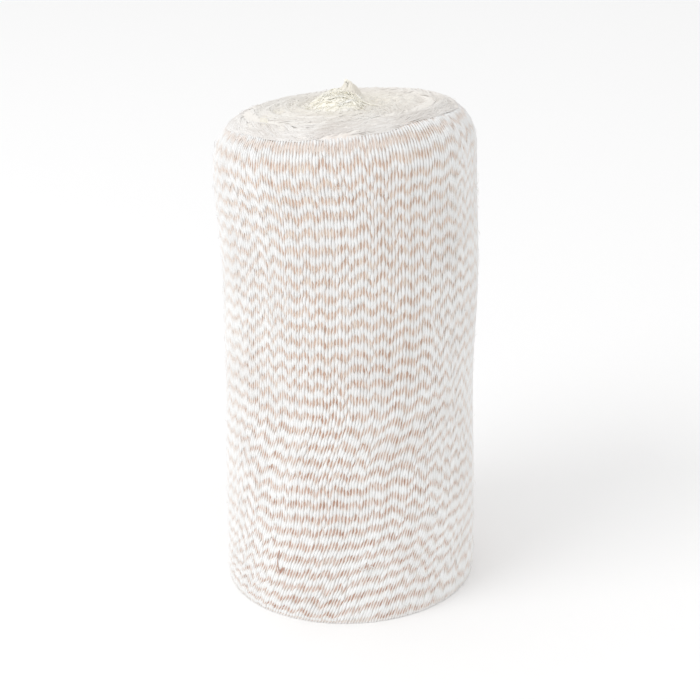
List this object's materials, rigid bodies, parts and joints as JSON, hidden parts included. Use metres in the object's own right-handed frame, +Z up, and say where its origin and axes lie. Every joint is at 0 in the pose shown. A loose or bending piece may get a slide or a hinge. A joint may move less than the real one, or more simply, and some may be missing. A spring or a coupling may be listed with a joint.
{
  "type": "elastic bandage roll",
  "caption": "Woven elastic bandage wound into an upright roll, with soft shoulders, a spiral end and a frayed core.",
  "frame": {"origin": "middle of the flat end that the roll stands on", "axes": "+Z up along the roll's axis, -Y towards the front, +X to the right seen from the front"},
  "size_m": [0.053, 0.0532, 0.1061],
  "materials": {
    "cloth": "matt woven elastic cloth, white weft yarns over tan rows of elastic threads"
  },
  "bodies": {
    "root": {"bandage_roll": "cloth"}
  },
  "joints": []
}
